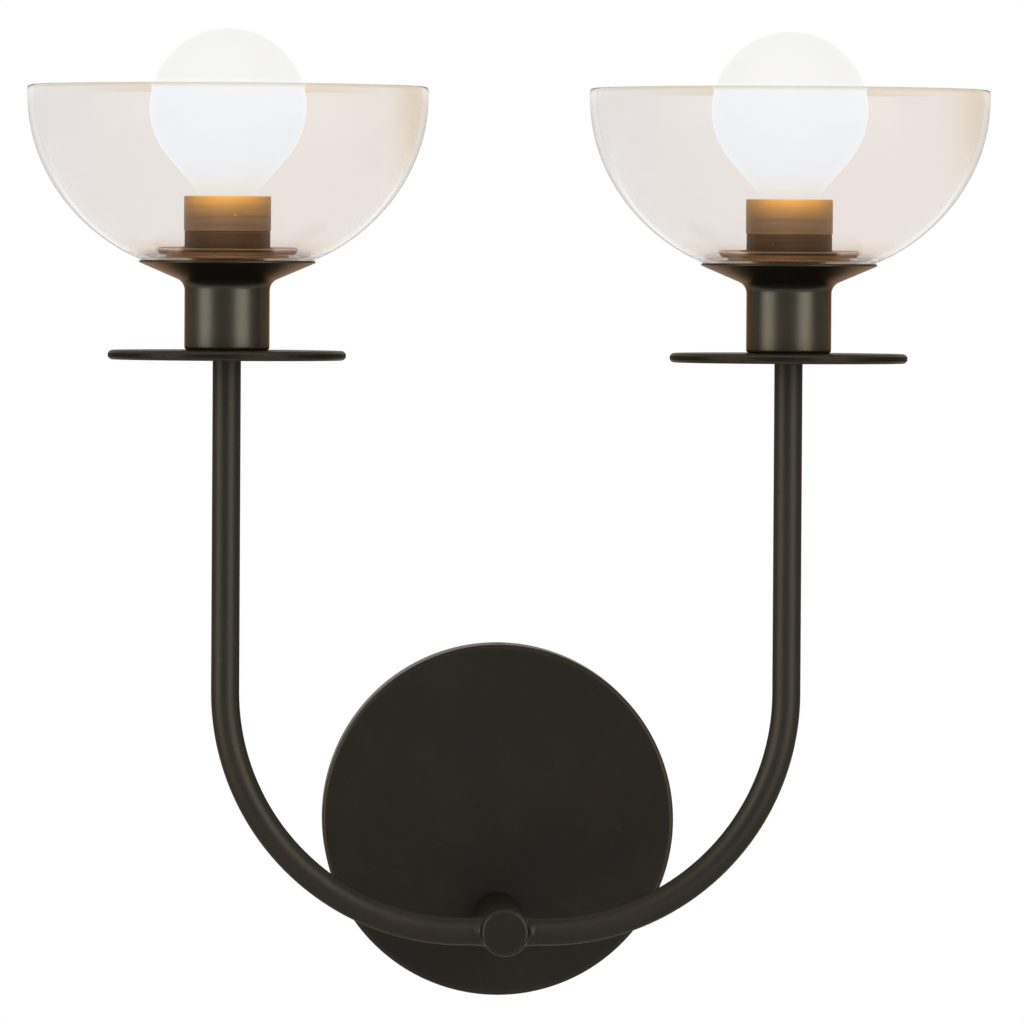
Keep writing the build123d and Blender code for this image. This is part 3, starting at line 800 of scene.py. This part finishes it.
def bent_tube(name, corners, tube_radius, finish_name):
    """A tube along corners (x, y, z, bend radius)."""
    curve = bpy.data.curves.new(name, "CURVE")
    curve.dimensions = "3D"
    spline = curve.splines.new("POLY")
    spline.points.add(len(corners) - 1)
    for point, corner in zip(spline.points, corners):
        point.co = (*corner[:3], 1.0)
        point.radius = corner[3]
    made = shaped_by(new_object(name, curve), TUBE, finish_name, Tube_Radius=tube_radius)
    made.data.shade_smooth()
    return made


# ---- canopy and stub ----


def canopy():
    """The round pan, with the stub's hole in front and a screw hole at the top and bottom."""
    radius = radius_of("canopy")
    depth = -low("canopy").y
    inner = radius - CANOPY_WALL
    outline = rounded([
        (0, depth - CANOPY_WALL),
        (inner, depth - CANOPY_WALL, CANOPY_ROUND - CANOPY_WALL),
        (inner, 0, 0.3 * MM),
        (radius, 0, 0.3 * MM),
        (radius, depth, CANOPY_ROUND),
        (0, depth),
    ], closed=False)
    pan = turned("canopy_pan", outline, 192)
    pan.data.transform(outward(0))
    drill(pan, outward(middle("hub").z), HUB_TAIL_RADIUS + SLIP, 0, 2 * depth)
    side_holes = Matrix.Translation((0, -SIDE_HOLE_FROM_WALL, 0))
    drill(pan, side_holes, SIDE_HOLE_RADIUS, -2 * radius, 2 * radius)
    hand_over(pan, HERE, "dark_bronze", "canopy")


def stub():
    """The turned rod that carries the arms, bored for the leads, with its threaded tail."""
    height = middle("hub").z
    radius = radius_of("hub", "z")
    nose = -low("hub").y
    tail = -high("hub").y
    shoulder = -low("canopy").y
    bore_end = -middle("left_drip_disc").y
    stations = [
        *rounded([(0, bore_end), (HUB_BORE_RADIUS, bore_end), (HUB_BORE_RADIUS, tail)],
                 closed=False),
        Station(HUB_TAIL_RADIUS - LEAD_IN, tail),
        *threaded(HUB_TAIL_RADIUS, tail + LEAD_IN, shoulder - 0.3 * MM, FINE_PITCH),
        *rounded([(HUB_TAIL_RADIUS, shoulder), (radius, shoulder, 0.3 * MM),
                  (radius, nose, HUB_ROUND), (0, nose)], closed=False),
    ]
    rod = thread_cut(turned("stub_rod", stations, 96), "dark_bronze")
    hand_over(rod, outward(height), "dark_bronze", "hub")


def braze_collar(side):
    """The braze metal where an arm enters the stub: a ball of the fillet's radius rolls round
    the corner between the rod and the tube, and touches both along the fillet's edges."""
    way = SIDES[side]
    height = middle("hub").z
    arm_y = middle(f"{side}_drip_disc").y
    rod = radius_of("hub", "z")
    tube = radius_of(f"{side}_arm_tube", "y")
    collar = tube + BRAZE_THICKNESS
    end = rod + BRAZE_LENGTH
    steps = 72
    arc_steps = 10

    def ring_at(rule):
        return [rule(2 * math.pi * step / steps) for step in range(steps)]

    def on_collar(reach, x):
        def rule(angle):
            return Vector((x, reach * math.cos(angle), reach * math.sin(angle)))
        return rule

    def on_fillet(share):
        def rule(angle):
            y = (collar + BRAZE_ROUND) * math.cos(angle)
            z = (collar + BRAZE_ROUND) * math.sin(angle)
            x = math.sqrt((rod + BRAZE_ROUND) ** 2 - z**2)
            to_rod = Vector((-x, 0, -z)).normalized()
            to_collar = Vector((0, -y, -z)).normalized()
            return Vector((x, y, z)) + to_rod.slerp(to_collar, share) * BRAZE_ROUND
        return rule

    def under_fillet(angle):
        return on_fillet(0)(angle) - Vector((BRAZE_SUNK, 0, 0))

    rings = [ring_at(under_fillet)]
    rings += [ring_at(on_fillet(step / arc_steps)) for step in range(arc_steps + 1)]
    rings.append(ring_at(on_collar(tube + BRAZE_FEATHER, end)))
    rings.append(ring_at(on_collar(tube, end)))
    rings.append(ring_at(on_collar(tube, rod / 2)))
    worn = [0.35] * (len(rings) - 2) + [0, 0]
    piece = lofted(f"{side}_braze_collar", rings, worn, [0] * len(rings), True)
    spot = Matrix.Translation((0, arm_y, height)) @ Matrix.Diagonal((way, 1, 1, 1))
    piece.data.transform(spot)
    if way < 0:
        piece.data.flip_normals()
    hand_over(piece, HERE, "tube_bronze", "hub")


def hexagon_nut(name, across, bore, start, end, place, finish_name, node):
    """A nut with chamfered corners."""
    flat = across / 2
    bevel = 0.10 * across
    stations = [
        *reversed(threaded(bore, start + 0.3 * MM, end - 0.3 * MM, FINE_PITCH)),
        Station(bore + 0.3 * MM, start),
        Station(flat * 0.96, start, 0.2),
        Station(flat * 0.98, start, 0.6),
    ]
    for share in (0, 1):
        base = end if share else start
        inward = -1 if share else 1
        levels = [0.12, 0.35, 0.7, 1.0]
        for level in reversed(levels) if share else levels:
            stations.append(Station(flat, base + inward * bevel * level, 0.3, 6))
    stations += [
        Station(flat * 0.98, end, 0.6),
        Station(flat * 0.96, end, 0.2),
        Station(bore + 0.3 * MM, end),
    ]
    hand_over(turned(name, stations, 72), place, finish_name, node)


def flat_ring(name, inner, outer, start, end, place, finish_name, node, rounding=0.15 * MM):
    """A flat ring with a little rounding on its four edges."""
    outline = rounded([(inner, start, rounding), (outer, start, rounding),
                       (outer, end, rounding), (inner, end, rounding)])
    hand_over(turned(name, outline, 72), place, finish_name, node)


def stub_fixings():
    """The washer and nut that hold the stub in the canopy from behind."""
    height = middle("hub").z
    washer = "hub_lock_washer"
    flat_ring("stub_washer", HUB_TAIL_RADIUS + SLIP, radius_of(washer), -high(washer).y,
              -low(washer).y, outward(height), "zinc_steel", washer)
    nut = "hub_lock_nut"
    hexagon_nut("stub_nut", high(nut).z - low(nut).z, HUB_TAIL_RADIUS + HAIR, -high(nut).y,
                -low(nut).y, outward(height), "brass", nut)


def set_screws():
    """The two headless screws in the canopy's side, each with a hexagon recess."""
    node = "canopy_set_screws"
    outer = high(node).z
    radius = radius_of(node)
    inner = min(v.co.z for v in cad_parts[node].data.vertices if v.co.z > 0)
    stations = [
        Station(0, inner),
        Station(radius - 0.5 * MM, inner),
        *threaded(radius, inner + 0.5 * MM, outer - 0.3 * MM, FINE_PITCH),
        Station(radius - 0.3 * MM, outer, 0.5),
        Station(RECESS_RADIUS + 0.15 * MM, outer, 0.5),
        Station(RECESS_RADIUS, outer - 0.15 * MM, 0.3, 6),
        Station(RECESS_RADIUS, outer - RECESS_DEPTH, 0, 6),
        Station(0, outer - RECESS_DEPTH - 0.4 * MM),
    ]
    for name, turn in (("top_set_screw", 0), ("bottom_set_screw", math.pi)):
        screw = thread_cut(turned(name, stations, 36), "dark_bronze")
        place = Matrix.Translation((0, middle(node).y, 0)) @ Matrix.Rotation(turn, 4, "Y")
        hand_over(screw, place, "dark_bronze", node)


def bracket_pieces():
    """The bracket and the ground screw keep their own solids."""
    dress(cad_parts["wall_bracket"], "zinc_steel")
    dress(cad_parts["ground_screw"], "green_screw")


# ---- arms ----


def arm(side):
    """The tube, with its wall, and the two leads inside it."""
    way = SIDES[side]
    spot = middle(f"{side}_drip_disc")
    stub_z = middle("hub").z
    rod = radius_of("hub", "z")
    node = f"{side}_arm_tube"
    radius = radius_of(node, "y")
    tube = bent_tube(f"{side}_tube", [
        (spot.x, spot.y, high(node).z, 0),
        (spot.x, spot.y, stub_z, TUBE_BEND),
        (way * (rod - TUBE_IN_HUB), spot.y, stub_z, 0),
    ], radius, "tube_bronze")
    wall = tube.modifiers.new("wall", "SOLIDIFY")
    wall.thickness = TUBE_WALL
    wall.offset = -1
    settle(tube)
    hand_over(tube, HERE, "tube_bronze", node)

    for number, lead in enumerate((-1, 1), 1):
        x = way * (abs(spot.x) + lead * LEAD_HALF_RISE)
        y = spot.y + lead * LEAD_HALF_GAP
        z = stub_z - lead * LEAD_HALF_RISE
        tail_x = way * LEAD_HALF_GAP
        wire = bent_tube(f"{side}_lead_{number}", [
            (x, y, high(f"{side}_leads").z, 0),
            (x, y, z, TUBE_BEND + lead * LEAD_HALF_RISE),
            (tail_x, y, z, LEAD_TURN),
            (tail_x, high(f"{side}_leads").y, z, 0),
        ], LEAD_RADIUS, "lead_insulation")
        hand_over(wire, HERE, "lead_insulation", f"{side}_leads")


# ---- lamp heads ----


def nipple(side):
    """The hollow threaded rod that holds a head together."""
    node = f"{side}_nipple"
    start, end = low(node).z, high(node).z
    stations = [
        *rounded([(NIPPLE_BORE, end), (NIPPLE_BORE, start)], closed=False),
        Station(NIPPLE_RADIUS - LEAD_IN, start),
        *threaded(NIPPLE_RADIUS, start + LEAD_IN, end - LEAD_IN, FINE_PITCH),
        Station(NIPPLE_RADIUS - LEAD_IN, end),
    ]
    rod = thread_cut(turned(f"{side}_threaded_nipple", stations, 40), "brass")
    hand_over(rod, upright(side), "brass", node)


def drip_disc(side):
    """The thick disc with a full round edge, under the cup."""
    node = f"{side}_drip_disc"
    start, end = low(node).z, high(node).z
    radius = radius_of(node)
    edge = (end - start) / 2 - 0.1 * MM
    hole = NIPPLE_RADIUS + SLIP
    outline = rounded([(hole, start, 0.2 * MM), (radius, start, edge), (radius, end, edge),
                       (hole, end, 0.2 * MM)])
    hand_over(turned(f"{side}_disc", outline, 160), upright(side), "tube_bronze", node)


def cup(side):
    """The spun cup: one sheet from the nipple's hole up into the saucer."""
    node = f"{side}_cup"
    base, top = low(node).z, high(node).z
    saucer = radius_of(node)
    lip = top - CUP_WALL * math.cos(SAUCER_ANGLE)
    corner = lip - (saucer - CUP_RADIUS) * math.tan(SAUCER_ANGLE)
    path = [
        (NIPPLE_RADIUS + SLIP, base),
        (CUP_RADIUS, base, CUP_BASE_ROUND),
        (CUP_RADIUS, corner, SAUCER_ROUND),
        (saucer, lip, 0.15 * MM),
    ]
    outline = rounded(sheet(path, CUP_WALL))
    hand_over(turned(f"{side}_spun_cup", outline, 160), upright(side), "spun_bronze", node)


def cup_fixings(side):
    """The washer and nut that clamp the cup from inside."""
    place = upright(side)
    washer = f"{side}_cup_lock_washer"
    flat_ring(f"{side}_washer", NIPPLE_RADIUS + SLIP, radius_of(washer), low(washer).z,
              high(washer).z, place, "zinc_steel", washer)
    nut = f"{side}_cup_lock_nut"
    hexagon_nut(f"{side}_nut", high(nut).y - low(nut).y, NIPPLE_RADIUS + HAIR, low(nut).z,
                high(nut).z, place, "brass", nut)


def gasket(side):
    """The soft wedge ring between the saucer's slope and the bowl's foot."""
    node = f"{side}_glass_gasket"
    start, end = low(node).z, high(node).z
    outer = radius_of(node)
    rise = (outer - GASKET_INNER) * math.tan(SAUCER_ANGLE)
    outline = rounded([(GASKET_INNER, start, 0.2 * MM), (outer, start + rise, 0.1 * MM),
                       (outer, end, 0.1 * MM), (GASKET_INNER, end, 0.2 * MM)])
    hand_over(turned(f"{side}_gasket", outline, 96), upright(side), "silicone", node)


def bowl(side):
    """The open glass: its wall lies between two ellipses, with a round lip and a ground foot."""
    node = f"{side}_glass_bowl"
    foot, rim = low(node).z, high(node).z
    radius = radius_of(node) - 0.02 * MM
    centre = rim - BOWL_LIP
    floor = foot + BOWL_WALL
    inner = radius - BOWL_WALL
    inner_height = BOWL_CURVE_HEIGHT - BOWL_WALL
    foot_turn = math.acos(BOWL_FOOT_RADIUS / radius)
    floor_turn = math.asin((centre - floor) / inner_height)
    steps = 40

    def curve(width, height, turn):
        angles = [turn * (1 - step / steps) for step in range(steps + 1)]
        return [(width * math.cos(angle), centre - height * math.sin(angle)) for angle in angles]

    lip = BOWL_WALL / 2
    outer_run = [(BOWL_FOOT_RADIUS, foot, BOWL_FOOT_ROUND),
                 *curve(radius, BOWL_CURVE_HEIGHT, foot_turn)[2:]]
    lip_turns = [math.pi * step / 12 for step in range(13)]
    lip_run = [(radius - lip + lip * math.cos(a), rim - lip + lip * math.sin(a)) for a in lip_turns]
    inner_run = curve(inner, inner_height, floor_turn)[::-1]
    outline = rounded([
        (BOWL_HOLE_RADIUS, foot, 0.3 * MM),
        *outer_run,
        *lip_run,
        *inner_run,
        (BOWL_HOLE_RADIUS, floor, 0.3 * MM),
    ])
    glass = turned(f"{side}_bowl", outline, 192)
    glass.visible_shadow = False
    hand_over(glass, upright(side), "tinted_glass", node)


def foot_washer(side):
    """The soft ring between the bowl's foot and the clamp ring."""
    node = f"{side}_foot_washer"
    flat_ring(f"{side}_foot_ring", BOWL_HOLE_RADIUS, radius_of(node), low(node).z, high(node).z,
              upright(side), "silicone", node, 0.3 * MM)


def clamp_ring(side):
    """The ring nut with the dished flange, and the sleeve that stands on its barrel."""
    node = f"{side}_glass_retainer"
    base, top = low(node).z, high(node).z
    cover = f"{side}_socket_cover"
    barrel = radius_of(cover)
    bore = radius_of(f"{side}_socket_body") + HAIR
    rim = radius_of(node)
    dish = [
        (bore, base),
        (rim - CLAMP_RIM_LEAN, base, CLAMP_RIM_ROUND),
        (rim, base + CLAMP_RIM_HEIGHT, 0.2 * MM),
    ]
    inside = offset_run(dish, CLAMP_SHEET)
    outline = rounded([
        *dish,
        (*inside[2][:2], 0.2 * MM),
        inside[1],
        (barrel - 0.2 * MM, base + CLAMP_SHEET, 0.4 * MM),
        (barrel - 0.2 * MM, top, 0.4 * MM),
        (bore, top),
    ])
    ring = turned(f"{side}_clamp_ring", outline, 144)
    # The inside of the dish is marked for a painted reflection.
    dish_reflection = ring.data.attributes.new("dish_reflection", "FLOAT", "POINT")
    for vertex in ring.data.vertices:
        lean = CLAMP_RIM_LEAN * (1 - (vertex.co.z - base) / CLAMP_RIM_HEIGHT)
        reach = vertex.co.xy.length
        inside_wall = barrel < reach < rim - lean - CLAMP_SHEET / 2
        in_dish = inside_wall and vertex.co.z > base + CLAMP_SHEET / 2
        dish_reflection.data[vertex.index].value = 1.0 if in_dish else 0.0
    hand_over(ring, upright(side), "warm_bronze", node)

    start, end = low(cover).z, high(cover).z
    outline = rounded([
        (barrel - SLEEVE_WALL, start, 0.1 * MM),
        (barrel, start, 0.4 * MM),
        (barrel, end, 0.4 * MM),
        (barrel - SLEEVE_WALL, end, 0.3 * MM),
    ])
    hand_over(turned(f"{side}_sleeve", outline, 144), upright(side), "warm_bronze", cover)


def lamp_holder(side):
    """The moulded body and the threaded screw shell inside it."""
    place = upright(side)
    node = f"{side}_socket_body"
    start, end = low(node).z, high(node).z
    radius = radius_of(node)
    floor = end - HOLDER_DEPTH
    shell = f"{side}_socket_shell"
    cavity = radius_of(shell) + SLIP
    seat = NIPPLE_RADIUS + HAIR
    step_z = start + HOLDER_BASE_HEIGHT
    seat_top = start + NIPPLE_IN_HOLDER + HAIR
    outline = rounded([
        (seat, start, 0.2 * MM),
        (HOLDER_BASE_RADIUS, start, 0.4 * MM),
        (HOLDER_BASE_RADIUS, step_z, 0.2 * MM),
        (radius, step_z, 0.4 * MM),
        (radius, end, 0.5 * MM),
        (cavity, end, 0.5 * MM),
        (cavity, floor),
        (LEAD_PASSAGE_RADIUS, floor),
        (LEAD_PASSAGE_RADIUS, seat_top),
        (seat, seat_top),
    ])
    hand_over(turned(f"{side}_holder_body", outline, 96), place, "black_plastic", node)

    outer = radius_of(shell)
    inner = outer - SHELL_WALL
    bottom, top = low(shell).z, high(shell).z
    stations = [
        *threaded(outer, bottom, top, BASE_THREAD_PITCH, 0.3),
        *reversed(threaded(inner, bottom, top, BASE_THREAD_PITCH, 0.3)),
    ]
    screw_shell = turned(f"{side}_screw_shell", stations, 72)
    screw_shell = thread_cut(screw_shell, "nickel", BASE_THREAD_PITCH, 0.3 * MM)
    hand_over(screw_shell, place, "nickel", shell)
    dress(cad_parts[f"{side}_socket_contact"], "brass")


# ---- bulbs ----


def bulb(side):
    """The opal globe with its taper and neck, on its threaded base."""
    place = upright(side)
    body = f"{side}_bulb"
    node = f"{side}_bulb_glass"
    radius = radius_of(node)
    top = high(node).z
    centre = top - radius
    base = f"{side}_bulb_base"
    base_radius = radius_of(base)
    neck = base_radius - BASE_WALL - SLIP
    mouth = low(node).z
    turns = 48
    sweep = math.radians(90) + BULB_TAPER
    globe = [(radius * math.sin(sweep * t / turns), centre + radius * math.cos(sweep * t / turns))
             for t in range(turns + 1)]
    path = [*globe, (neck, mouth + BULB_NECK_LENGTH, BULB_NECK_ROUND), (neck, mouth)]
    inside = offset_run(path, -BULB_WALL)
    inside[0] = (0, top - BULB_WALL)
    outline = rounded([*path, *reversed(inside)], closed=False)
    hand_over(turned(f"{side}_globe", outline, 128), place, "opal_glass", node, body)

    tip = low(f"{side}_bulb_tip").z
    end = high(base).z
    shoulder = tip + BASE_SHOULDER
    inner = base_radius - BASE_WALL
    hole_z = tip + BASE_HOLE_HEIGHT
    stations = [
        Station(BASE_HOLE_RADIUS, hole_z),
        Station((BASE_HOLE_RADIUS + base_radius) / 2, (hole_z + shoulder) / 2),
        *threaded(base_radius, shoulder, end - 2.5 * MM, BASE_THREAD_PITCH),
        Station(base_radius, end, 0.5),
        Station(inner, end, 0.5),
        *reversed(threaded(inner, shoulder + 0.2 * MM, end - 2.5 * MM, BASE_THREAD_PITCH)),
        Station(BASE_HOLE_RADIUS, hole_z + BASE_WALL),
    ]
    screw_base = turned(f"{side}_screw_base", stations, 72)
    screw_base = thread_cut(screw_base, "nickel", BASE_THREAD_PITCH, BASE_THREAD_DEPTH)
    hand_over(screw_base, place, "nickel", base, body)

    node = f"{side}_bulb_tip"
    start, end, reach = low(node).z, high(node).z, radius_of(node)
    outline = rounded([(0, start), (reach, start, 0.9 * MM), (reach, end), (0, end)], closed=False)
    hand_over(turned(f"{side}_solder_tip", outline, 48), place, "solder", node, body)

    node = f"{side}_bulb_insulator"
    start, end, outer = low(node).z, high(node).z, radius_of(node)
    outline = rounded([(reach + HAIR, start, 0.1 * MM), (outer, start, 0.4 * MM), (outer, end),
                       (reach + HAIR, end)])
    hand_over(turned(f"{side}_insulator", outline, 48), place, "black_plastic", node, body)

    dress(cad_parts[f"{side}_bulb_stem"], "clear_glass")
    dress(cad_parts[f"{side}_bulb_filaments"], "filament")


# ---- stage ----


def white_world():
    """White to the eye and through glass. The object gets a plain even light, with a soft
    upright band on each side of the camera and a little more from above and below."""
    world = bpy.data.worlds.new("studio")
    bpy.context.scene.world = world
    world.use_nodes = True
    graph = Graph(world.node_tree)
    path = graph.add("ShaderNodeLightPath", output="Is Camera Ray")
    way = graph.add("ShaderNodeTexCoord", output="Generated")
    x = graph.add("ShaderNodeSeparateXYZ", None, {0: way}, "X")
    y = x.out("Y")
    height = x.out("Z")
    aside = x.maths("ARCTAN2", x, -y)

    def band(degrees, strength):
        """A soft box that stands this far round from the camera's side of the object."""
        away = aside.maths("ABSOLUTE", aside - math.radians(degrees))
        return strength * (1 - away.over(math.radians(8), math.radians(27)))

    even = 0.58
    bands = band(-62, 4.4) + band(41, 4.6)
    bands = bands * (1 - height.maths("ABSOLUTE", height).over(0.3, 0.8))
    above = 0.9 * height.over(0.35, 0.7) * (-y).over(0.1, 0.6)
    under = 0.4 * (-height).over(0.1, 0.8)
    low_behind = 3.2 * (-height).over(0.15, 0.45) * y.over(0.3, 0.8)
    strength = even + bands + above + under + low_behind
    backdrop = path.out("Is Glossy Ray") * y.over(0.0, 0.15) * height.over(-0.05, 0.03)
    lit = strength.maths("MAXIMUM", strength, backdrop)
    seen = path.maths("MAXIMUM", path, path.out("Is Transmission Ray"))
    mixed = seen + (1 - seen) * lit
    light = graph.add("ShaderNodeBackground", None, {"Color": (1, 1, 1, 1), "Strength": mixed})
    graph.add("ShaderNodeOutputWorld", None, {"Surface": light})


def floor():
    """A pale floor under the object, white to the eye but for the shadow, clear from below."""
    drop = 0.24
    half = 1.6
    whitened = 0.72
    mesh = bpy.data.meshes.new("studio_floor")
    z = cad_box[0].z - drop
    corners = [(-half, -half, z), (half, -half, z), (half, half, z), (-half, half, z)]
    mesh.from_pydata(corners, [], [(0, 1, 2, 3)])
    plane = new_object("studio_floor", mesh)
    paper = bpy.data.materials.new("studio_paper")
    paper.use_nodes = True
    graph = Graph(paper.node_tree)
    path = graph.add("ShaderNodeLightPath", output="Is Camera Ray")
    lit = graph.add("ShaderNodeBsdfDiffuse", None, {"Color": shade(236, 236, 234)})
    white = graph.add("ShaderNodeEmission", None, {"Color": (1, 1, 1, 1), "Strength": 1.0})
    shown = path * whitened + path.out("Is Glossy Ray")
    seen = graph.add("ShaderNodeMixShader", None, {0: shown, 1: lit, 2: white})
    clear = graph.add("ShaderNodeBsdfTransparent")
    below = graph.add("ShaderNodeNewGeometry", output="Backfacing")
    shader = graph.add("ShaderNodeMixShader", None, {0: below, 1: seen, 2: clear})
    graph.add("ShaderNodeOutputMaterial", None, {"Surface": shader})
    mesh.materials.append(paper)
    plane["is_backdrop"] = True


def bulb_glow(side):
    """The light of a lit bulb, as large as its globe. It moves with the bulb."""
    glass = f"{side}_bulb_glass"
    radius = radius_of(glass)
    lamp = bpy.data.lights.new(f"{side}_glow", "POINT")
    lamp.shadow_soft_size = radius + 0.3 * MM
    lamp.energy = 0.5
    lamp.color = (1.0, 0.74, 0.45)
    glow = new_object(f"{side}_glow", lamp)
    glow.location = (middle(glass).x, middle(glass).y, high(glass).z - radius)
    glow.visible_camera = False
    glow.visible_transmission = False
    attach(glow, f"{side}_bulb")


def camera():
    """A long lens, level with the cups and a little to the left, as the photograph was taken."""
    photo_width = 1024
    focal_length = 9751
    data = bpy.data.cameras.new("photo_camera")
    data.sensor_width = 36.0
    data.lens = focal_length / photo_width * data.sensor_width
    data.clip_start = 0.1
    data.clip_end = 50.0
    view = new_object("photo_camera", data)
    yaw, pitch, roll = (math.radians(angle) for angle in (1.756, -1.46, 0.339))
    eye = (-0.0983, -3.365, 0.1911)
    turn = Matrix.Rotation(-yaw, 4, "Z") @ Matrix.Rotation(math.radians(90) + pitch, 4, "X")
    turn = turn @ Matrix.Rotation(roll, 4, "Z")
    view.matrix_world = Matrix.Translation(eye) @ turn
    bpy.context.scene.camera = view


# ---- making ----

camera()
canopy()
stub()
stub_fixings()
set_screws()
bracket_pieces()
for side in SIDES:
    braze_collar(side)
    arm(side)
    nipple(side)
    drip_disc(side)
    cup(side)
    cup_fixings(side)
    gasket(side)
    bowl(side)
    foot_washer(side)
    clamp_ring(side)
    lamp_holder(side)
    bulb(side)
    bulb_glow(side)
white_world()
floor()
bpy.context.scene.view_settings.view_transform = "Standard"

boxes = {"cad": cad_box, "visual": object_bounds()}
{name: [list(corner) for corner in box] for name, box in boxes.items()}
